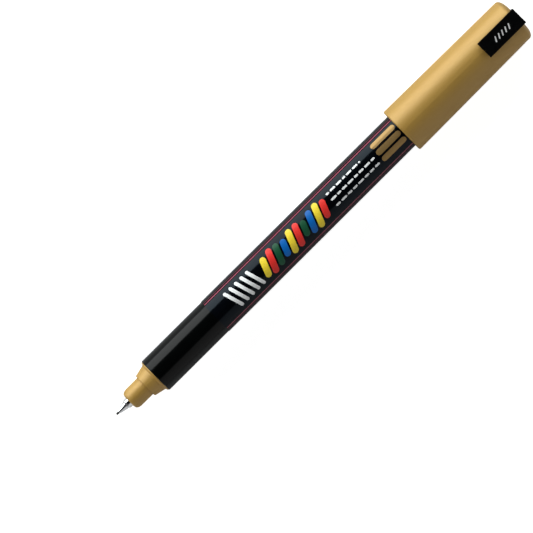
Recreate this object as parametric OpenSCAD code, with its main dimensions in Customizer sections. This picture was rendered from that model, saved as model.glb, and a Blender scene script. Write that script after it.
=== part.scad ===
// Ultra-fine paint marker for lettering, lying on its side with its cap posted on the tail.
// Each piece is drawn along the pen's axis, nib point at zero and tail upward, with the clip
// towards +X. lay() then puts the pen on the table: nib towards -X, clip towards +Z.

/* [Nib and steel tip] */
// Diameter of the plastic nib
nib_d = 0.7; // [0.5:0.1:0.9]
// Length of nib that stands bare in front of the steel tip
nib_bare = 0.8; // [0.4:0.1:1]
// Whole length of the nib
nib_len = 7.4; // [6:0.2:8]
// How far the nib's point stands out of the nose
tip_reach = 4.75; // [4.5:0.05:7]
// Wall of the steel tip at its mouth
tip_lip = 0.16; // [0.1:0.02:0.3]
// Diameter at the back of the steel tip's cone
tip_cone_d = 2.2; // [1.9:0.05:2.4]
// Diameter of the steel tip's shank
tip_d = 2.75; // [2.6:0.05:3]
// Length of shank that shows in front of the nose
tip_shank = 0.9; // [0.6:0.05:1.2]
// How far the nib is pressed in to open the valve
press_travel = 1.2; // [0.6:0.1:1.4]
// Diameter of the fibre core that feeds the nib
core_d = 1.6; // [1.4:0.05:1.8]

/* [Front section] */
// Diameter of the nose
nose_d = 5.95; // [5.6:0.05:6.5]
// Length of the nose
nose_len = 5.8; // [5:0.1:7]
// Length over which the nose rounds over at its front
nose_round = 1.7; // [1:0.05:2]
// Diameter of the collar's front edge
collar_front_d = 7.2; // [6.8:0.05:7.6]
// Diameter of the collar's back, which seals in the inner cap
collar_back_d = 8.4; // [8:0.05:8.8]
// Length of the tapered collar
collar_len = 2.8; // [2:0.1:4]
// Thickness of the flange that meets the barrel, with its flare
flange_len = 0.9; // [0.75:0.05:1.4]
// How far the flange's rim lies under the barrel's surface
flange_inset = 0.25; // [0.2:0.05:0.3]
// Length of the spigot inside the barrel
spigot_len = 12; // [11:0.5:15]
// Outer diameter of the carrier that slides inside the front section
carrier_d = 4; // [3.8:0.05:4.2]

/* [Valve] */
// Length of the valve housing
housing_len = 17; // [15:0.5:22]
// Wall of the valve housing behind the front section
housing_wall = 0.65; // [0.5:0.05:0.8]
// Thickness of the rubber valve seat
seat_t = 1.4; // [1.2:0.1:1.8]
// Diameter of the valve stem's pins
stem_d = 1.5; // [1.3:0.1:1.7]
// Diameter of the valve stem's sealing head
stem_head_d = 3.9; // [3.6:0.1:4.1]
// Diameter of the spring wire
wire_d = 0.4; // [0.3:0.05:0.5]
// Number of turns of the valve spring
spring_turns = 7; // [5:1:9]
// Number of inlet windows round the valve housing
window_count = 4; // [3:1:5]
// Width of one inlet window
window_w = 1.5; // [1:0.1:1.8]
// Diameter of one mixing ball
ball_d = 5; // [4:0.1:5.6]

/* [Barrel] */
// Diameter of the barrel over its plain front
barrel_d = 10.4; // [10.2:0.05:11.2]
// Diameter of the barrel at its tail
tail_d = 10.2; // [10:0.05:10.4]
// Wall of the barrel over its plain front
barrel_wall = 0.9; // [0.8:0.05:1]
// Length of the barrel
barrel_len = 110.25; // [95:0.25:130]
// Length of the plain front, ahead of the printed film
grip_len = 21.9; // [15:0.1:30]
// Thickness of the printed film
film_t = 0.1; // [0.06:0.02:0.2]
// Length of barrel that the film leaves bare at the tail
film_stop = 3; // [1:0.5:6]
// Length of the tail plug that shows behind the barrel
plug_head = 2; // [1.5:0.1:3]
// Length of the tail plug inside the barrel
plug_depth = 6; // [5:0.5:9]

/* [Cap] */
// Length of the cap
cap_len = 42.3; // [40:0.1:48]
// Diameter of the cap at its mouth
cap_mouth_d = 13.6; // [13.3:0.05:14.4]
// Diameter of the cap at its closed end
cap_end_d = 12.9; // [12.6:0.05:13.4]
// Length over which the closed end rounds over
cap_dome = 1.55; // [1:0.05:2.2]
// Thickness of the closed end
cap_end_wall = 1.6; // [1.3:0.1:2]
// How far the pen reaches into the posted cap
posted = 22; // [18:0.5:24]
// Number of gripping ribs inside the cap
rib_count = 6; // [4:1:10]
// Wall of the inner cap
inner_wall = 0.7; // [0.5:0.05:0.9]

/* [Clip] */
// Width of the clip
clip_w = 5; // [4.4:0.1:6]
// Length of the clip
clip_len = 13; // [11:0.5:18]
// Thickness of the clip's blade
clip_t = 1.1; // [0.9:0.05:1.4]
// Gap between the blade and the cap
clip_gap = 0.55; // [0.45:0.05:0.8]
// Thickness of the clip's leg over the cap's closed end
clip_over = 0.5; // [0.4:0.05:0.8]
// Width of the clip's root in its slot
root_w = 3.4; // [3:0.1:4]
// Length of the clip's root in its slot
root_len = 2.6; // [2.2:0.1:3]

/* [Hidden] */

// Clearances: seated pieces, sliding pieces, and faces that meet end to end.
fit = 0.03;
slide = 0.06;
face = 0.02;
// Edge break on moulded edges, and a length that lets one solid run into the next.
edge = 0.15;
bite = 0.2;

// Radii of the front end.
nib_r = nib_d / 2;
tip_mouth_r = nib_r + face + tip_lip;
tip_r = tip_d / 2;
core_r = core_d / 2;
nose_r = nose_d / 2;
collar_front_r = collar_front_d / 2;
collar_back_r = collar_back_d / 2;
carrier_r = carrier_d / 2;
carrier_bore_r = carrier_r + slide;
chamber_wall = 0.95;
barrel_r = barrel_d / 2;
tail_r = tail_d / 2;
bore_r = barrel_r - barrel_wall;
spigot_r = bore_r - fit;
flange_r = barrel_r - flange_inset;
chamber_r = spigot_r - chamber_wall;

// Stations along the axis, from the nib's point.
nose_z = tip_reach;
shoulder_z = nose_z + nose_len;
collar_z = shoulder_z + collar_len;
barrel_z = collar_z + flange_len;
spigot_z = barrel_z + spigot_len;
film_z = barrel_z + grip_len;
tail_z = barrel_z + barrel_len;
film_end_z = tail_z - film_stop;
pen_z = tail_z + plug_head;
cap_z = pen_z - posted;
cap_end_z = cap_z + cap_len;
overall = cap_end_z + clip_over;

// Steel tip, carrier and core: the collar of the tip rests on a step inside the nose.
stop_back = 1;
stop_z = shoulder_z - stop_back;
tip_flare = 0.35;
tip_collar_t = 0.9;
tip_collar_r = carrier_r - 0.1;
tip_end_z = stop_z + face + tip_collar_t;
carrier_z = tip_end_z + face;
carrier_wide = 5;
carrier_narrow = 2.7;
carrier_narrow_r = core_r + 0.55;
carrier_web = 0.5;
carrier_end_z = carrier_z + carrier_wide + carrier_narrow;
chamber_z = barrel_z + 0.35;
buffer_gap = 0.3;

// Spigot: groove for the sealing ring, and a bead that snaps into the barrel.
ring_d = 0.6;
ring_z = barrel_z + 3;
groove_w = ring_d + 0.15;
bead_z = barrel_z + 8;
bead_h = 0.12;
bead_w = 0.9;

// Valve: the housing plugs into the spigot and carries the seat, stem, spring and retainer.
valve_plug = 5.95;
valve_z = spigot_z - valve_plug;
housing_front_r = chamber_r - fit;
housing_r = bore_r - 1.2;
housing_bore_r = housing_r - housing_wall;
housing_front_wall = 1.2;
housing_flange_t = 0.8;
housing_end_z = valve_z + housing_len;
seat_z = valve_z + housing_front_wall + face;
seat_cone = 0.8;
stem_r = stem_d / 2;
stem_head_r = stem_head_d / 2;
orifice_r = stem_r + 0.35;
head_cone_z = seat_z + seat_t - seat_cone;
head_back_z = seat_z + seat_t + 0.9;
retainer_t = 1.6;
retainer_z = housing_end_z - retainer_t;
retainer_flange_t = 0.8;
retainer_end_z = housing_end_z + face + retainer_flange_t;
stem_end_z = retainer_end_z - press_travel - 0.1;
window_z = spigot_z + housing_flange_t + 1.2;
window_end_z = retainer_z - 2.4;
port_r = 0.4;
wire_r = wire_d / 2;
spring_r = stem_r + 0.3 + wire_r + 0.2;

// Mixing balls lie at the bottom of the bore, behind the valve.
ball_r = ball_d / 2;
ball_drop = bore_r - ball_r - 0.05;
ball_z = retainer_end_z + ball_r + 0.1;
ball_gap = 0.1;

// Film follows the barrel's draft.
function barrel_surface(z) =
    z < film_z ? barrel_r : barrel_r + (tail_r - barrel_r) * (z - film_z) / (tail_z - film_z);
film_r = barrel_r + face + film_t;

// Cap: bore over the film, gripping ribs, and a narrower seat for the inner cap.
lip_round = 0.45;
cap_mouth_r = cap_mouth_d / 2;
cap_end_r = cap_end_d / 2;
cap_bore_r = film_r + 0.15;
rib_r = film_r + fit;
rib_w = 0.8;
rib_lead = 1.5;
post_gap = 0.5;
step_z = pen_z + post_gap;
dome_reach = 3.1;
inner_bore_r = collar_back_r - 0.25;
inner_r = inner_bore_r + inner_wall;
seat_bore_r = inner_r + fit;
inner_end_z = cap_end_z - cap_end_wall - face;
inner_end_t = 0.8;
seal_bead = 0.1;
function cap_surface(z) =
    cap_mouth_r + (cap_end_r - cap_mouth_r) * (z - cap_z - lip_round) / (cap_len - lip_round - cap_dome);

function cap_dome_arc(grow) =
    arc([cap_end_r - dome_reach, cap_end_z - cap_dome], dome_reach + grow, cap_dome + grow, 0, 90, 10);

// Clip: blade, hook, leg over the closed end, and a root in the cap's slot.
clip_z = overall - clip_len;
clip_top = cap_surface(clip_z) + clip_gap + clip_t;
foot_fit = 0.04;
hook_r = 0.6;
hook_z = clip_z + 1;
root_z = cap_end_z - root_len;
root_fit = 0.06;
slot_floor = seat_bore_r + 0.35;
leg_x = 3.6;

// Height of the axis when the cap's mouth rests on the table.
axis_h = cap_mouth_r;

// ---------- helpers ----------

// Points of an elliptical arc about c, from angle a0 to a1, with radius rr across and rz along.
function arc(c, rr, rz, a0, a1, n = 8) =
    [for (i = [0:n]) let (a = a0 + (a1 - a0) * i / n) [c[0] + rr * cos(a), c[1] + rz * sin(a)]];

// A solid turned from a profile of [radius, station] points.
module turned(points) {
    rotate_extrude($fn = 96) polygon(points);
}

// A slab of the given width whose outline is drawn as [height, station] points.
module slab(points, width) {
    rotate([90, 0, 0]) linear_extrude(width, center = true) polygon(points);
}

// Lays the pen down: axis along X and centred, clip up.
module lay() {
    translate([-overall / 2, 0, axis_h]) rotate([0, 90, 0]) rotate([0, 0, 180]) children();
}

// ---------- barrel ----------

module barrel() {
    color("#0b0d0e") lay() turned([
        [bore_r + edge, barrel_z],
        [barrel_r - edge, barrel_z],
        [barrel_r, barrel_z + edge],
        [barrel_r, film_z],
        [tail_r, tail_z - edge],
        [tail_r - edge, tail_z],
        [bore_r + edge, tail_z],
        [bore_r, tail_z - edge],
        [bore_r, bead_z + bead_w + fit],
        [bore_r + bead_h + fit, bead_z + bead_w * 2 / 3 + fit],
        [bore_r + bead_h + fit, bead_z + bead_w / 3 - fit],
        [bore_r, bead_z - fit],
        [bore_r, barrel_z + edge]
    ]);
}

module printed_film() {
    color("#15181c") lay() turned([
        [barrel_surface(film_z) + face, film_z],
        [barrel_surface(film_z) + face + film_t, film_z],
        [barrel_surface(film_end_z) + face + film_t, film_end_z],
        [barrel_surface(film_end_z) + face, film_end_z]
    ]);
}

module tail_plug() {
    head_r = tail_r - 0.05;
    head_round = 0.6;
    dish_r = 3.1;
    dish = 0.5;
    plug_r = bore_r - fit;
    waist_r = plug_r - 0.18;
    cup_r = plug_r - 0.95;
    rib = 0.8;
    front_z = tail_z - plug_depth;
    color("#b8914a") lay() turned(concat(
        [[cup_r, front_z], [waist_r, front_z], [plug_r, front_z + 0.5], [plug_r, front_z + 0.5 + rib],
         [waist_r, front_z + 1.6 + rib], [waist_r, tail_z - 2 - rib], [plug_r, tail_z - 1.5 - rib],
         [plug_r, tail_z + face], [head_r, tail_z + face]],
        arc([head_r - head_round, pen_z - head_round], head_round, head_round, 0, 90, 6),
        [[dish_r, pen_z], [dish_r - dish, pen_z - dish], [0, pen_z - dish], [0, tail_z - 0.4],
         [cup_r - 0.4, tail_z - 0.4], [cup_r, tail_z - 0.8]]
    ));
}

// ---------- front section ----------

module front_section() {
    flare = flange_len - 0.3;
    round_in = 1.05;
    groove_r = bore_r - ring_d - face;
    color("#c09a4e") lay() turned(concat(
        [[tip_r + slide, nose_z + 0.1], [tip_r + slide + 0.1, nose_z]],
        arc([nose_r - round_in, nose_z + nose_round], round_in, nose_round, -90, 0),
        [[nose_r, shoulder_z], [collar_front_r - 0.12, shoulder_z],
         [collar_front_r, shoulder_z + 0.14]],
        arc([collar_back_r + flare, collar_z], flare, flare, 180, 90, 6),
        [[flange_r - 0.08, collar_z + flare], [flange_r, collar_z + flare + 0.08],
         [flange_r, barrel_z - face], [spigot_r, barrel_z - face],
         [spigot_r, ring_z - groove_w / 2], [groove_r, ring_z - groove_w / 2],
         [groove_r, ring_z + groove_w / 2], [spigot_r, ring_z + groove_w / 2],
         [spigot_r, bead_z], [bore_r + bead_h, bead_z + bead_w / 3],
         [bore_r + bead_h, bead_z + bead_w * 2 / 3], [spigot_r, bead_z + bead_w],
         [spigot_r, spigot_z - 0.5], [spigot_r - 0.3, spigot_z],
         [chamber_r, spigot_z], [chamber_r, chamber_z],
         [carrier_bore_r, chamber_z], [carrier_bore_r, stop_z], [tip_r + slide, stop_z]]
    ));
}

module barrel_seal() {
    color("#202020") lay()
        rotate_extrude($fn = 96)
            translate([bore_r - face / 2 - ring_d / 2, ring_z]) circle(d = ring_d, $fn = 32);
}

// ---------- nib unit, which slides inwards when the nib is pressed ----------

module nib() {
    color("#3c3c3a") lay() turned(concat(
        [[0, nib_len]], [[nib_r - 0.06, nib_len], [nib_r, nib_len - 0.06]],
        arc([0, nib_r], nib_r, nib_r, 0, -90)
    ));
}

module steel_tip() {
    step = nib_len + face;
    color("#c9cbce") lay() turned([
        [nib_r + face, nib_bare + 0.04],
        [tip_mouth_r - 0.06, nib_bare],
        [tip_mouth_r, nib_bare + 0.1],
        [tip_cone_d / 2, nose_z - tip_shank - tip_flare],
        [tip_r - 0.06, nose_z - tip_shank - 0.04],
        [tip_r, nose_z - tip_shank + 0.06],
        [tip_r, stop_z + face],
        [tip_collar_r, stop_z + face],
        [tip_collar_r, tip_end_z],
        [core_r + fit, tip_end_z],
        [core_r + fit, step],
        [nib_r + face, step]
    ]);
}

// The carrier's back is closed by a web that pushes the valve stem; side slots feed the core.
module nib_carrier() {
    slot_w = 0.5;
    slot_len = carrier_narrow - 1.1;
    slot_z = carrier_z + carrier_wide + 0.3;
    color("#e8e6df") lay() difference() {
        turned([
            [core_r + fit, carrier_z], [carrier_r - edge, carrier_z], [carrier_r, carrier_z + edge],
            [carrier_r, carrier_z + carrier_wide - 0.5],
            [carrier_narrow_r, carrier_z + carrier_wide],
            [carrier_narrow_r, carrier_end_z - edge], [carrier_narrow_r - edge, carrier_end_z],
            [0, carrier_end_z], [0, carrier_end_z - carrier_web],
            [core_r + fit, carrier_end_z - carrier_web]
        ]);
        for (turn = [0, 90])
            rotate([0, 0, turn]) translate([-carrier_r, -slot_w / 2, slot_z])
                cube([carrier_d, slot_w, slot_len]);
    }
}

module feed_core() {
    front_z = nib_len + 2 * face;
    back_z = carrier_end_z - carrier_web - face;
    color("#d8d2c0") lay() turned([
        [0, front_z], [core_r - 0.1, front_z], [core_r, front_z + 0.1],
        [core_r, back_z - 0.1], [core_r - 0.1, back_z], [0, back_z]
    ]);
}

module ink_buffer() {
    front_z = chamber_z + fit;
    back_z = valve_z - buffer_gap;
    color("#cfc6a8") lay() turned([
        [carrier_r + buffer_gap, front_z], [chamber_r - fit, front_z],
        [chamber_r - fit, back_z], [carrier_r + buffer_gap, back_z]
    ]);
}

// ---------- pump valve ----------

// The housing: a plug in the spigot, a flange on its end, and a cage with inlet windows.
module valve_housing() {
    flange_z = spigot_z + face;
    flange_edge_r = spigot_r - 0.25;
    color("#f0efe9") lay() difference() {
        turned([
            [orifice_r, valve_z], [housing_front_r - 0.3, valve_z], [housing_front_r, valve_z + 0.3],
            [housing_front_r, flange_z], [flange_edge_r, flange_z],
            [flange_edge_r, flange_z + housing_flange_t], [housing_r, flange_z + housing_flange_t],
            [housing_r, housing_end_z], [housing_bore_r, housing_end_z],
            [housing_bore_r, valve_z + housing_front_wall], [orifice_r, valve_z + housing_front_wall]
        ]);
        for (i = [0:window_count - 1])
            rotate([0, 0, 360 * (i + 0.5) / window_count])
                translate([housing_bore_r - bite, -window_w / 2, window_z])
                    cube([housing_wall + 2 * bite, window_w, window_end_z - window_z]);
    }
}

module valve_seat() {
    color("#2a2c2e") lay() turned([
        [orifice_r, seat_z], [housing_bore_r - fit, seat_z], [housing_bore_r - fit, seat_z + seat_t],
        [orifice_r + seat_cone, seat_z + seat_t], [orifice_r, head_cone_z]
    ]);
}

// The stem's cone seals on the seat's cone; its front pin meets the carrier's web.
module valve_stem() {
    lift = 2 * face;
    color("#dfe3e6") lay() turned([
        [0, carrier_end_z + face], [stem_r - 0.1, carrier_end_z + face],
        [stem_r, carrier_end_z + face + 0.1],
        [stem_r, head_cone_z + lift - (orifice_r - stem_r)],
        [stem_head_r, head_cone_z + lift + stem_head_r - orifice_r],
        [stem_head_r, head_back_z], [stem_r, head_back_z],
        [stem_r, stem_end_z - 0.3], [stem_r - 0.3, stem_end_z], [0, stem_end_z]
    ]);
}

spring_z = head_back_z + face + wire_r;
spring_end_z = retainer_z - face - wire_r;
// Share of the spring's length reached at share u of its turns: the end turns lie closer together.
end_close = 0.3;
function spring_climb(u) = u - end_close * sin(360 * u) / (2 * PI);
function spring_point(t) = [spring_r * cos(360 * t), spring_r * sin(360 * t),
    spring_z + (spring_end_z - spring_z) * spring_climb(t / spring_turns)];

// A helix swept with a six-sided wire, eight rings to a turn.
module valve_spring() {
    rings = 8 * spring_turns;
    sides = 6;
    points = [for (i = [0:rings]) let (t = i / 8, c = spring_point(t), out = [cos(360 * t), sin(360 * t)])
        for (k = [0:sides - 1]) let (a = 360 * k / sides)
            [c[0] + wire_r * cos(a) * out[0], c[1] + wire_r * cos(a) * out[1], c[2] + wire_r * sin(a)]];
    walls = [for (i = [0:rings - 1], k = [0:sides - 1], half = [0, 1])
        let (a = i * sides + k, b = i * sides + (k + 1) % sides, c = a + sides, d = b + sides)
            half == 0 ? [a, b, d] : [a, d, c]];
    caps = [for (k = [1:sides - 2], end = [0, 1])
        end == 0 ? [0, k + 1, k] : [rings * sides, rings * sides + k, rings * sides + k + 1]];
    color("#a9adb0") lay() polyhedron(points, concat(walls, caps));
}

// Least gap of the spring's wire to the next turn, along the axis.
spring_gap = min([for (i = [0:8 * (spring_turns - 1)])
    spring_point(i / 8 + 1)[2] - spring_point(i / 8)[2]]) - wire_d;
echo(spring_gap = spring_gap);

// The retainer carries the spring's end, guides the stem's pin and lets paint in through ports.
module spring_retainer() {
    port_ring = (stem_r + fit + housing_bore_r) / 2;
    color("#f0efe9") lay() difference() {
        turned([
            [stem_r + slide, retainer_z], [housing_bore_r - fit - edge, retainer_z],
            [housing_bore_r - fit, retainer_z + edge], [housing_bore_r - fit, housing_end_z + face],
            [housing_r, housing_end_z + face], [housing_r, retainer_end_z - edge],
            [housing_r - edge, retainer_end_z], [stem_r + slide, retainer_end_z]
        ]);
        for (i = [0:3])
            rotate([0, 0, 90 * i]) translate([port_ring, 0, retainer_z - bite])
                cylinder(r = port_r, h = retainer_end_z - retainer_z + 2 * bite, $fn = 24);
    }
}

module mixing_ball(z) {
    color("#9fa3a6") lay() translate([-ball_drop, 0, z]) sphere(r = ball_r, $fn = 64);
}

module mixing_ball_front() {
    mixing_ball(ball_z);
}

module mixing_ball_rear() {
    mixing_ball(ball_z + ball_d + ball_gap);
}

// ---------- cap ----------

// One gripping rib inside the cap's bore, with a slanted lead-in at the mouth.
module grip_rib() {
    back_r = cap_bore_r + bite;
    slab([[back_r, cap_z + rib_lead], [cap_bore_r - face, cap_z + rib_lead],
          [rib_r, cap_z + 2 * rib_lead], [rib_r, step_z + bite], [back_r, step_z + bite]], rib_w);
}

module cap_shell() {
    color("#c09a4e") lay() difference() {
        union() {
            turned(concat(
                [[cap_bore_r, cap_z + 0.5], [cap_bore_r + 0.3, cap_z]],
                arc([cap_mouth_r - lip_round, cap_z + lip_round], lip_round, lip_round, -90, 0, 6),
                cap_dome_arc(0),
                [[0, cap_end_z], [0, cap_end_z - cap_end_wall], [seat_bore_r, cap_end_z - cap_end_wall],
                 [seat_bore_r, step_z], [cap_bore_r, step_z]]
            ));
            for (i = [0:rib_count - 1]) rotate([0, 0, 360 * i / rib_count]) grip_rib();
        }
        translate([slot_floor, -root_w / 2 - root_fit, root_z - root_fit])
            cube([cap_mouth_r, root_w + 2 * root_fit, root_len + 1]);
    }
}

// The cap's outer form at its closed end, grown so that the clip's foot clears it.
module cap_envelope() {
    turned(concat(
        [[0, clip_z], [cap_surface(clip_z) + foot_fit, clip_z]], cap_dome_arc(foot_fit),
        [[0, cap_end_z + foot_fit]]
    ));
}

// The liner that seals round the front section's collar when the cap is on the nib.
module inner_cap() {
    color("#ece9df") lay() turned([
        [inner_bore_r + 0.25, step_z], [inner_r - edge, step_z], [inner_r, step_z + edge],
        [inner_r, inner_end_z - 0.4], [inner_r - 0.4, inner_end_z], [0, inner_end_z],
        [0, inner_end_z - inner_end_t], [inner_bore_r - 0.5, inner_end_z - inner_end_t],
        [inner_bore_r, inner_end_z - inner_end_t - 0.5], [inner_bore_r, step_z + 1.6],
        [inner_bore_r - seal_bead, step_z + 1.3], [inner_bore_r - seal_bead, step_z + 0.9],
        [inner_bore_r, step_z + 0.6]
    ]);
}

// One piece: the blade with its hook, a foot that hugs the cap, and a root in the cap's slot.
module clip() {
    blade_x = clip_top - clip_t;
    hook_x = cap_surface(hook_z) + 0.12 + hook_r;
    root_top = cap_end_r + bite;
    color("#0a0a0b") lay() {
        difference() {
            slab(concat(
                [[blade_x, hook_z + hook_r]],
                arc([hook_x, hook_z], hook_r, hook_r, 90, 270, 10),
                [[blade_x, hook_z - hook_r], [blade_x, clip_z], [clip_top - edge, clip_z],
                 [clip_top, clip_z + edge], [clip_top, overall - edge], [clip_top - edge, overall],
                 [leg_x, overall], [leg_x, root_z], [blade_x - 0.5, root_z], [blade_x, root_z - 0.5]]
            ), clip_w);
            cap_envelope();
        }
        slab([[slot_floor + root_fit, root_z], [root_top, root_z], [root_top, overall - clip_over / 2],
              [slot_floor + root_fit, overall - clip_over / 2]], root_w);
    }
}

barrel();
printed_film();
tail_plug();
front_section();
barrel_seal();
nib();
steel_tip();
nib_carrier();
feed_core();
ink_buffer();
valve_housing();
valve_seat();
valve_stem();
valve_spring();
spring_retainer();
mixing_ball_front();
mixing_ball_rear();
cap_shell();
inner_cap();
clip();
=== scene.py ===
"""Looks for the paint marker: materials on the CAD nodes, a valve spring in round wire, ink on the film
and the clip, and the floor, lights and camera."""
import math

import bmesh
import bpy
from mathutils import Matrix, Vector


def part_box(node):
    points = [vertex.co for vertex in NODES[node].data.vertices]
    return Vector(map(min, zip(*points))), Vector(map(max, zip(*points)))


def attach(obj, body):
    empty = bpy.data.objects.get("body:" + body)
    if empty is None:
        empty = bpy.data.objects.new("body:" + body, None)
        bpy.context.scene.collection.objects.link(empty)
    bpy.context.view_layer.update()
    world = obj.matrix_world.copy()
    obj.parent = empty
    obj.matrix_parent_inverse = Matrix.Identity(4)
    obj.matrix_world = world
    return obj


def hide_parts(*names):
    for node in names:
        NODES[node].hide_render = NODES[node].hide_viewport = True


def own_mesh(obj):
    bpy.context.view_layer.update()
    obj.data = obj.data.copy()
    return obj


MM = 0.001
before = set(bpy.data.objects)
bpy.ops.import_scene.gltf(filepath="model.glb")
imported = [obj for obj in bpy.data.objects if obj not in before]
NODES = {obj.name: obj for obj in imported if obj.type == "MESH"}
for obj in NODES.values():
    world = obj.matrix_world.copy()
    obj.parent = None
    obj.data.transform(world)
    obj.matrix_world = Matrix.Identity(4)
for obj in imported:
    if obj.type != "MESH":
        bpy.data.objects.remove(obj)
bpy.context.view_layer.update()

# The pen in the row frame: the nib's point, the height of the pen's axis, the film and the clip's top.
NIB_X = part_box("nib")[0].x
AXIS_Z = (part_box("barrel")[0].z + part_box("barrel")[1].z) / 2
FILM_LOW, FILM_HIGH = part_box("printed_film")
CLIP_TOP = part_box("clip")[1].z


def station(s):
    """X of a point s millimetres behind the nib's point."""
    return NIB_X + s * MM


def film_end_radius(x, band=0.1 * MM):
    """Outer radius of the film at one of its ends."""
    near = [v.co for v in NODES["printed_film"].data.vertices if abs(v.co.x - x) < band]
    return max(math.hypot(co.y, co.z - AXIS_Z) for co in near)


FILM_FRONT_R = film_end_radius(FILM_LOW.x)
FILM_BACK_R = film_end_radius(FILM_HIGH.x)


def film_radius(x):
    """Outer radius of the film, which tapers evenly from end to end."""
    t = (x - FILM_LOW.x) / (FILM_HIGH.x - FILM_LOW.x)
    return FILM_FRONT_R + (FILM_BACK_R - FILM_FRONT_R) * t


# ---------------------------------------------------------------- materials

NOISE_LOW, NOISE_HIGH = 0.3, 0.7    # most of a noise texture's values lie between these


def srgb(r, g, b):
    """A linear colour from 8-bit screen values."""
    def linear(v):
        v /= 255
        return v / 12.92 if v <= 0.04045 else ((v + 0.055) / 1.055) ** 2.4
    return (linear(r), linear(g), linear(b), 1.0)


def grey(v):
    """A linear grey."""
    return (v, v, v, 1.0)


def tint(colour, k):
    """The colour made k times as bright."""
    return (colour[0] * k, colour[1] * k, colour[2] * k, 1.0)


class Nodes:
    """One material, with short names for the nodes that drive its shader. Texture scales are per metre."""

    def __init__(self, name):
        self.material = bpy.data.materials.new(name)
        self.material.use_nodes = True
        self.tree = self.material.node_tree
        self.shader = self.tree.nodes["Principled BSDF"]
        self.where = self.add("ShaderNodeTexCoord").outputs["Object"]

    def add(self, kind, **values):
        """A new node. Each value sets the node's property of that name, or else its socket."""
        node = self.tree.nodes.new(kind)
        for key, value in values.items():
            if hasattr(node, key):
                setattr(node, key, value)
            else:
                node.inputs[key].default_value = value
        return node

    def link(self, out, into):
        """Links an output to an input."""
        self.tree.links.new(out, into)

    def drive(self, socket, out):
        """Links an output to one of the shader's sockets."""
        self.link(out, self.shader.inputs[socket])

    def fix(self, values):
        """Sets the shader's values that are the same all over the surface."""
        for socket, value in values.items():
            self.shader.inputs[socket].default_value = value

    def stretched(self, scale):
        """Object coordinates scaled by axis."""
        mapping = self.add("ShaderNodeMapping", Scale=scale)
        self.link(self.where, mapping.inputs["Vector"])
        return mapping.outputs["Vector"]

    def noise(self, scale, detail=3.0, rough=0.5, vector=None):
        """A noise texture's value."""
        node = self.add("ShaderNodeTexNoise", Scale=scale, Detail=detail, Roughness=rough)
        self.link(vector or self.where, node.inputs["Vector"])
        return node.outputs["Fac"]

    def colours(self, value, dark, light, top=NOISE_HIGH):
        """A colour that runs from dark, where value is NOISE_LOW, to light, where it is top."""
        node = self.add("ShaderNodeValToRGB")
        for element, place, colour in zip(node.color_ramp.elements, (NOISE_LOW, top), (dark, light)):
            element.position = place
            element.color = colour
        self.link(value, node.inputs["Fac"])
        return node.outputs["Color"]

    def spread(self, value, low, high):
        """Maps a noise's usual values onto low to high."""
        node = self.add("ShaderNodeMapRange")
        limits = {"From Min": NOISE_LOW, "From Max": NOISE_HIGH, "To Min": low, "To Max": high}
        for key, number in limits.items():
            node.inputs[key].default_value = number
        self.link(value, node.inputs["Value"])
        return node.outputs["Result"]

    def bump(self, height, depth, under=None):
        """The normal of a relief that is depth millimetres deep, laid over another relief's normal."""
        node = self.add("ShaderNodeBump", Strength=1.0, Distance=depth * MM)
        self.link(height, node.inputs["Height"])
        if under:
            self.link(under, node.inputs["Normal"])
        return node.outputs["Normal"]


def plastic(name, colour, rough, grain, mottle, peel, specular=0.5, gleam=(1, 1, 1, 1)):
    """Moulded plastic or rubber: a faint mottle, roughness that wanders and the mould's orange peel.

    rough is the least and the greatest roughness, grain the scale of its patches, mottle the share by which
    the colour varies, peel the depth of the orange peel in millimetres, and gleam the gloss's own colour.
    """
    n = Nodes(name)
    cloud = n.noise(grain * 0.35, detail=4.0, rough=0.6)
    n.drive("Base Color", n.colours(cloud, tint(colour, 1 - mottle), tint(colour, 1 + mottle)))
    n.drive("Roughness", n.spread(n.noise(grain, rough=0.55), *rough))
    n.drive("Normal", n.bump(n.noise(grain * 2.2, detail=2.0), depth=peel))
    n.fix({"Specular IOR Level": specular, "Specular Tint": gleam})
    return n.material


GOLD_DARK = (0.445, 0.25, 0.042, 1.0)
GOLD_LIGHT = (0.495, 0.29, 0.057, 1.0)
FLAKE_SHARE = 0.3       # how much a flake's own shade counts beside the mottle


def gold_plastic():
    """Pearl gold plastic: flakes a tenth of a millimetre across, on a mottle drawn out along the pen."""
    n = Nodes("gold_plastic")
    flakes = n.add("ShaderNodeTexVoronoi", Scale=9000.0)
    n.link(n.where, flakes.inputs["Vector"])
    mottle = n.noise(260.0, detail=4.0, rough=0.6, vector=n.stretched((0.25, 1, 1)))
    shade = n.add("ShaderNodeMath", operation="MULTIPLY_ADD")
    n.link(flakes.outputs["Color"], shade.inputs[0])
    shade.inputs[1].default_value = FLAKE_SHARE
    n.link(mottle, shade.inputs[2])
    n.drive("Base Color", n.colours(shade.outputs[0], GOLD_DARK, GOLD_LIGHT, top=1.0))
    n.drive("Roughness", n.spread(n.noise(1400.0, rough=0.6), low=0.42, high=0.52))
    peel = n.bump(n.noise(1500.0, detail=2.0), depth=0.006)
    n.drive("Normal", n.bump(flakes.outputs["Distance"], depth=0.0012, under=peel))
    n.fix({"Metallic": 0.2, "Specular IOR Level": 0.6, "Coat Weight": 0.25, "Coat Roughness": 0.45})
    return n.material


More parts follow.
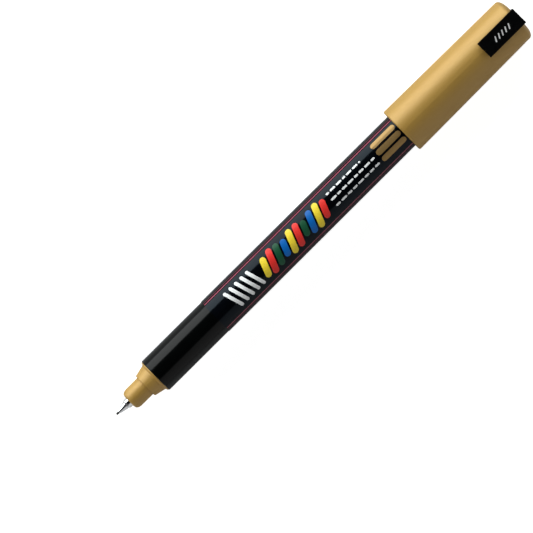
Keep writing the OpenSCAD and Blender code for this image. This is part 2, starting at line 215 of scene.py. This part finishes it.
def turned_steel(name, colour, rough, rings, depth):
    """Metal with the fine rings that a lathe leaves round the pen's axis, depth millimetres deep."""
    n = Nodes(name)
    wave = n.add("ShaderNodeTexWave", bands_direction="X", Scale=rings, Distortion=0.6, Detail=2.0)
    n.link(n.where, wave.inputs["Vector"])
    n.drive("Base Color", n.colours(n.noise(700.0), tint(colour, 0.92), tint(colour, 1.05)))
    n.drive("Roughness", n.spread(n.noise(2200.0), *rough))
    n.drive("Normal", n.bump(wave.outputs["Fac"], depth))
    n.fix({"Metallic": 1.0})
    return n.material


def fibre(name, dark, light):
    """Bonded fibre that runs along the pen."""
    n = Nodes(name)
    strands = n.noise(6000.0, detail=4.0, rough=0.7, vector=n.stretched((0.06, 1, 1)))
    n.drive("Base Color", n.colours(strands, dark, light))
    n.drive("Normal", n.bump(strands, depth=0.03))
    n.fix({"Roughness": 0.9})
    return n.material


def ink(name, colour, rough=(0.3, 0.42), metallic=0.0):
    """Screen-printed ink: slightly uneven in colour, softer in gloss than the film."""
    n = Nodes(name)
    cloud = n.noise(2600.0, detail=4.0, rough=0.65)
    n.drive("Base Color", n.colours(cloud, tint(colour, 0.9), tint(colour, 1.06)))
    n.drive("Roughness", n.spread(n.noise(3400.0), *rough))
    n.drive("Normal", n.bump(n.noise(5200.0), depth=0.002))
    n.fix({"Metallic": metallic, "Specular IOR Level": 0.27})
    return n.material


BARREL_BLACK = (0.001, 0.0014, 0.0014, 1.0)
FILM_BLACK = (0.0012, 0.0018, 0.003, 1.0)
CLIP_BLACK = (0.0012, 0.0012, 0.0014, 1.0)
FILM_GLEAM = (0.7, 0.85, 1.0, 1.0)
NIB_GREY = (0.05, 0.05, 0.044, 1.0)
SEAL_BLACK = grey(0.02)
SEAT_BLACK = (0.03, 0.03, 0.032, 1.0)
WHITE_PLASTIC = srgb(232, 230, 222)
TIP_STEEL = (0.84, 0.845, 0.86, 1.0)
WIRE_STEEL = (0.5, 0.51, 0.53, 1.0)
BALL_STEEL = (0.48, 0.48, 0.49, 1.0)

RUBBER = {"rough": (0.6, 0.8), "grain": 2500.0, "mottle": 0.2, "peel": 0.01, "specular": 0.3}
HOUSING = {"rough": (0.35, 0.45), "grain": 1300.0, "mottle": 0.03, "peel": 0.006}

gold = gold_plastic()
spring_wire = turned_steel("spring_wire", WIRE_STEEL, (0.2, 0.3), rings=9000.0, depth=0.002)
ball_steel = turned_steel("ball_steel", BALL_STEEL, (0.18, 0.3), rings=3000.0, depth=0.001)
dress = {
    "barrel": plastic("barrel_black", BARREL_BLACK, (0.1, 0.16), grain=700.0, mottle=0.2, peel=0.004,
                      specular=0.18),
    "printed_film": plastic("film_black", FILM_BLACK, (0.1, 0.14), grain=900.0, mottle=0.2, peel=0.005,
                            specular=0.18, gleam=FILM_GLEAM),
    "tail_plug": gold,
    "front_section": gold,
    "cap_shell": gold,
    "barrel_seal": plastic("seal_rubber", SEAL_BLACK, **RUBBER),
    "valve_seat": plastic("seat_rubber", SEAT_BLACK, **RUBBER),
    "nib": plastic("nib_plastic", NIB_GREY, (0.4, 0.55), grain=4000.0, mottle=0.25, peel=0.004,
                   specular=0.3),
    "steel_tip": turned_steel("tip_steel", TIP_STEEL, (0.04, 0.08), rings=5000.0, depth=0.0008),
    "nib_carrier": plastic("carrier_white", WHITE_PLASTIC, (0.4, 0.5), grain=1500.0, mottle=0.03,
                           peel=0.006),
    "feed_core": fibre("core_fibre", srgb(150, 132, 92), srgb(214, 198, 154)),
    "ink_buffer": fibre("buffer_fibre", srgb(128, 108, 70), srgb(196, 176, 128)),
    "valve_housing": plastic("housing_white", WHITE_PLASTIC, **HOUSING),
    "spring_retainer": plastic("retainer_white", WHITE_PLASTIC, **HOUSING),
    "valve_stem": plastic("stem_acetal", srgb(214, 220, 224), (0.3, 0.4), grain=1500.0, mottle=0.03,
                          peel=0.005),
    "valve_spring": spring_wire,
    "mixing_ball_front": ball_steel,
    "mixing_ball_rear": ball_steel,
    "inner_cap": plastic("liner_natural", srgb(226, 222, 208), (0.45, 0.55), grain=1500.0, mottle=0.03,
                         peel=0.006),
    "clip": plastic("clip_black", CLIP_BLACK, (0.34, 0.44), grain=1300.0, mottle=0.2, peel=0.006,
                    specular=0.1),
}
for node, material in dress.items():
    mesh = NODES[node].data
    mesh.materials.clear()
    mesh.materials.append(material)


def new_piece(name, mesh, material):
    """An object of that name from a bmesh, which is then freed."""
    data = bpy.data.meshes.new(name)
    mesh.to_mesh(data)
    mesh.free()
    data.materials.append(material)
    piece = bpy.data.objects.new(name, data)
    bpy.context.scene.collection.objects.link(piece)
    return piece


# ---------------------------------------------------------------- valve spring

SPRING_TURNS = 7
END_CLOSE = 0.3     # how much closer than evenly spaced ones the end turns lie


def round_wire_spring(wire_r=0.2 * MM, rings=20, sides=12):
    """The valve spring in round wire."""
    low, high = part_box("valve_spring")
    radius = (high.z - low.z) / 2 - wire_r
    first, last = low.x + wire_r, high.x - wire_r
    along = Vector((1, 0, 0))
    mesh = bmesh.new()
    loops = []
    for i in range(SPRING_TURNS * rings + 1):
        turn = math.tau * i / rings
        share = i / (SPRING_TURNS * rings)
        climb = share - END_CLOSE * math.sin(math.tau * share) / math.tau
        out = Vector((0, -math.sin(turn), math.cos(turn)))
        centre = Vector((first + (last - first) * climb, 0, AXIS_Z)) + out * radius
        around = [math.tau * k / sides for k in range(sides)]
        loops.append([mesh.verts.new(centre + wire_r * (math.cos(a) * out + math.sin(a) * along))
                      for a in around])
    for one, two in zip(loops, loops[1:]):
        for k in range(sides):
            mesh.faces.new((one[k], one[k - 1], two[k - 1], two[k])).smooth = True
    mesh.faces.new(loops[0])
    mesh.faces.new(loops[-1])
    bmesh.ops.recalc_face_normals(mesh, faces=mesh.faces[:])
    spring = new_piece("round_wire_spring", mesh, spring_wire)
    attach(spring, "barrel")
    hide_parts("valve_spring")
    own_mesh(spring)


round_wire_spring()


# ---------------------------------------------------------------- printing

FILM_R = 5.3            # nominal radius in millimetres, which turns a width on the film into an angle
INK_LIFT = 0.02 * MM    # height of the ink above the film, and twice its height above the clip
SLICE = 0.3             # millimetres between lengthwise cuts in a printed shape, which let it curve


def on_film(s, w):
    """The place on the film of a point at station s, w millimetres round it from the clip's side."""
    x = station(s)
    radius = film_radius(x) + INK_LIFT
    angle = w / FILM_R
    return (x, -radius * math.sin(angle), AXIS_Z + radius * math.cos(angle))


def on_clip(s, w):
    """The place on the clip's flat top of a point at station s, w millimetres from its middle."""
    return (station(s), -w * MM, CLIP_TOP + INK_LIFT / 2)


def print_ink(name, outlines, material, body, place):
    """One mesh of thin printed shapes, cut lengthwise every SLICE millimetres and laid on a surface."""
    mesh = bmesh.new()
    for outline in outlines:
        mesh.faces.new([mesh.verts.new((s, w, 0)) for s, w in outline])
    mesh.normal_update()
    low = min(v.co.y for v in mesh.verts)
    high = max(v.co.y for v in mesh.verts)
    for i in range(1, int((high - low) / SLICE) + 1):
        bmesh.ops.bisect_plane(mesh, geom=mesh.verts[:] + mesh.edges[:] + mesh.faces[:],
                               plane_co=(0, low + i * SLICE, 0), plane_no=(0, 1, 0))
    bmesh.ops.triangulate(mesh, faces=mesh.faces[:])
    for v in mesh.verts:
        v.co = place(v.co.x, v.co.y)
    bmesh.ops.recalc_face_normals(mesh, faces=mesh.faces[:])
    mesh.normal_update()
    outward = sum(f.normal.z * f.calc_area() for f in mesh.faces)
    if outward < 0:
        bmesh.ops.reverse_faces(mesh, faces=mesh.faces[:])
    for f in mesh.faces:
        f.smooth = True
    piece = new_piece(name, mesh, material)
    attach(piece, body)


def print_film(name, outlines, material):
    """Ink on the film."""
    print_ink(name, outlines, material, "barrel", on_film)


# ---------------------------------------------------------------- shapes of the print

def stroke(a, b, width, steps=8):
    """Outline of a round-ended stroke from a to b, as (station, width) points in millimetres."""
    start, end = Vector(a), Vector(b)
    turn = math.atan2(end.y - start.y, end.x - start.x)
    outline = []
    for centre, first in ((end, turn - math.pi / 2), (start, turn + math.pi / 2)):
        for i in range(steps + 1):
            angle = first + math.pi * i / steps
            outline.append((centre.x + width / 2 * math.cos(angle), centre.y + width / 2 * math.sin(angle)))
    return outline


def strip(s0, s1, centre, width):
    """Outline of a square-ended strip along the pen."""
    return [(s0, centre - width / 2), (s1, centre - width / 2), (s1, centre + width / 2),
            (s0, centre + width / 2)]


def at_angle(degrees):
    """Width coordinate of an angle round the pen, counted from the clip's side towards -Y."""
    return math.radians(degrees) * FILM_R


def side_rules(angle, width, inset=0.1):
    """A rule along each side of the film at that angle, which stops just short of the film's ends."""
    s0 = (FILM_LOW.x - NIB_X) / MM + inset
    s1 = (FILM_HIGH.x - NIB_X) / MM - inset
    return [strip(s0, s1, at_angle(side * angle), width) for side in (-1, 1)]


def slanted_bars(first, pitch, lean, reach, width, count=5):
    """Parallel bars from -reach to reach across the pen, which lean back towards the tail."""
    starts = [first + pitch * i for i in range(count)]
    return [stroke((s, -reach), (s + lean, reach), width) for s in starts]


def uneven(least, extra, phase):
    """A length between least and least + extra, which swells and shrinks with the phase."""
    return least + extra * abs(math.sin(phase))


DAB_ORDER = ("yellow", "red", "green", "blue")


def paint_dabs(colour, first=54.5, pitch=2.4, count=10, lean=0.38, width=1.75):
    """One colour's dabs, of a row of uneven dabs that takes the colours in turn."""
    dabs = []
    for i in range(DAB_ORDER.index(colour), count, len(DAB_ORDER)):
        reach = uneven(least=1.2, extra=1.35, phase=0.95 * i + 0.5)
        centre = first + pitch * i
        dabs.append(stroke((centre + lean * reach, -reach), (centre - lean * reach, reach), width))
    return dabs


def broken_rule(angle, last, phase, first=79.1, gap=0.95, width=0.56):
    """A rule along the pen from station first to last, broken into dashes of uneven length."""
    dashes = []
    s = first
    while s < last:
        length = uneven(least=0.5, extra=0.9, phase=2.1 * len(dashes) + phase)
        end = min(s + length, last)
        dashes.append(stroke((s, at_angle(angle)), (end, at_angle(angle)), width, steps=4))
        s += length + gap
    return dashes


def swatch(angle, first=96.45, last=103.3, width=1.6):
    """A plain round-ended patch along the pen."""
    return stroke((first, at_angle(angle)), (last, at_angle(angle)), width, steps=12)


RED = srgb(240, 56, 50)
# red ink of the inner rules, partly its own red and partly washed pink as a painted highlight
RULE_RED_WITH_PAINTED_HIGHLIGHT = srgb(172, 80, 100)
RULE_DARK = srgb(88, 28, 44)
BLUE = srgb(12, 104, 190)
GREEN = srgb(26, 84, 56)
YELLOW = srgb(253, 224, 62)
INK_GOLD = (0.357, 0.22, 0.08, 1.0)
INK_WHITE = srgb(248, 249, 249)
CLIP_WHITE = srgb(214, 214, 214)

# Two red rules along each side of the label, the outer one darker and thinner, the inner one's pink a
# painted highlight.
print_film("rules_red", side_rules(angle=51.5, width=0.28),
           ink("ink_rule_red_with_painted_highlight", RULE_RED_WITH_PAINTED_HIGHLIGHT, rough=(0.16, 0.24)))
print_film("rules_dark", side_rules(angle=60, width=0.26), ink("ink_rule_dark", RULE_DARK))

# White slanted bars, then a row of paint dabs in four colours.
ink_white = ink("ink_white", INK_WHITE)
print_film("bars_white", slanted_bars(42.0, pitch=2.0, lean=1.5, reach=2.6, width=0.95), ink_white)
for name, colour in (("red", RED), ("yellow", YELLOW), ("blue", BLUE), ("green", GREEN)):
    print_film("dabs_" + name, paint_dabs(name), ink("ink_" + name, colour))

# Three broken rules in white, and three plain swatches of the pen's colour.
RULE_ENDS = ((-25.4, 91.0), (-3.6, 94.8), (18.0, 94.4))     # each rule's angle and its last station
dashes = []
for row, (angle, last) in enumerate(RULE_ENDS):
    dashes += broken_rule(angle, last, phase=1.3 * row)
print_film("dashes_white", dashes, ink_white)
print_film("swatches_gold", [swatch(angle) for angle in (-30.0, -4.7, 19.2)],
           ink("ink_gold", INK_GOLD, rough=(0.34, 0.44), metallic=0.5))

# Short bars on the clip, slanted the other way.
print_ink("clip_bars", slanted_bars(138.3, pitch=1.2, lean=0.6, reach=-0.55, width=0.36),
          ink("ink_clip", CLIP_WHITE), "clip", on_clip)


# ---------------------------------------------------------------- floor, lights, camera

FLOOR_SIZE = 4.0        # metres
FLOOR_GLOW = 0.85       # light that the camera alone sees from the floor, as from a lit sweep


def stage_floor():
    """Plain white table, which glows a little for the camera alone."""
    bpy.ops.mesh.primitive_plane_add(size=FLOOR_SIZE, location=(0, 0, 0))
    floor = bpy.context.object
    floor.name = "floor"
    n = Nodes("floor_white")
    n.drive("Base Color", n.colours(n.noise(3.0), grey(0.88), grey(0.9)))
    path = n.add("ShaderNodeLightPath")
    glow = n.add("ShaderNodeMath", operation="MULTIPLY")
    n.link(path.outputs["Is Camera Ray"], glow.inputs[0])
    glow.inputs[1].default_value = FLOOR_GLOW
    n.drive("Emission Strength", glow.outputs[0])
    n.fix({"Roughness": 1.0, "Specular IOR Level": 0.0, "Emission Color": grey(1)})
    floor.data.materials.append(n.material)


def area_light(name, tilt, radiance, colour=(1, 1, 1), distance=0.6, width=0.66, length=1.6):
    """A long soft box beside the pen, in metres. tilt is its angle from straight up, in degrees to +Y."""
    light = bpy.data.lights.new(name, "AREA")
    light.shape = "RECTANGLE"
    light.size = length
    light.size_y = width
    light.color = colour
    light.energy = radiance * math.pi * width * length
    lamp = bpy.data.objects.new(name, light)
    bpy.context.scene.collection.objects.link(lamp)
    angle = math.radians(tilt)
    out = Vector((0, math.sin(angle), math.cos(angle)))
    across = Vector((0, math.cos(angle), -math.sin(angle)))
    lamp.matrix_world = Matrix((
        (1, across.x, out.x, 0),
        (0, across.y, out.y, out.y * distance),
        (0, across.z, out.z, out.z * distance + AXIS_Z),
        (0, 0, 0, 1),
    ))


# The room's grey, by the height of the direction looked in: 0 is level and 1 is straight up.
ROOM_STOPS = ((0.5, grey(0.16)), (0.9, grey(0.01)))


def studio_world():
    """Dim grey room, darker straight overhead."""
    world = bpy.data.worlds.new("room")
    bpy.context.scene.world = world
    world.use_nodes = True
    tree = world.node_tree
    back = tree.nodes["Background"]
    coord = tree.nodes.new("ShaderNodeTexCoord")
    part = tree.nodes.new("ShaderNodeSeparateXYZ")
    ramp = tree.nodes.new("ShaderNodeValToRGB")
    tree.links.new(coord.outputs["Generated"], part.inputs[0])
    tree.links.new(part.outputs["Z"], ramp.inputs["Fac"])
    tree.links.new(ramp.outputs["Color"], back.inputs["Color"])
    for element, (place, colour) in zip(ramp.color_ramp.elements, ROOM_STOPS):
        element.position = place
        element.color = colour


AXIS_ANGLE = 44.85          # degrees that the pen rises to the right in the picture
TILT = 2.5                  # degrees that the camera leans towards +Y
VIEW_STATION = 54.8         # station at the picture's middle
VIEW_OFFSET = 0.22 * MM     # how far the picture's middle lies from the pen's axis
PICTURE_WIDTH = 533         # pixels
PIXEL = 0.26 * MM           # width of one pixel at the pen
CAMERA_DISTANCE = 4.0       # metres
SENSOR = 36.0               # the sensor's width in millimetres, the unit of the lens too


def photograph_camera():
    """The photograph's view: nearly straight down on the pen, from far enough to flatten the perspective."""
    data = bpy.data.cameras.new("camera")
    data.sensor_width = SENSOR
    data.lens = SENSOR * CAMERA_DISTANCE / (PICTURE_WIDTH * PIXEL)
    camera = bpy.data.objects.new("camera", data)
    bpy.context.scene.collection.objects.link(camera)
    a, t = math.radians(AXIS_ANGLE), math.radians(TILT)
    along = Vector((1, 0, 0))
    side = Vector((0, math.cos(t), -math.sin(t)))
    back = Vector((0, math.sin(t), math.cos(t)))
    right = along * math.cos(a) - side * math.sin(a)
    up = along * math.sin(a) + side * math.cos(a)
    target = Vector((station(VIEW_STATION), 0, AXIS_Z)) - side * VIEW_OFFSET
    place = target + back * CAMERA_DISTANCE
    camera.matrix_world = Matrix([[right[i], up[i], back[i], place[i]] for i in range(3)] + [[0, 0, 0, 1]])
    bpy.context.scene.camera = camera


stage_floor()
studio_world()
area_light("key", tilt=71.5, radiance=3.6, colour=(0.95, 1, 1))
area_light("fill", tilt=-60, radiance=0.43)
photograph_camera()
bpy.context.scene.view_settings.view_transform = "Standard"
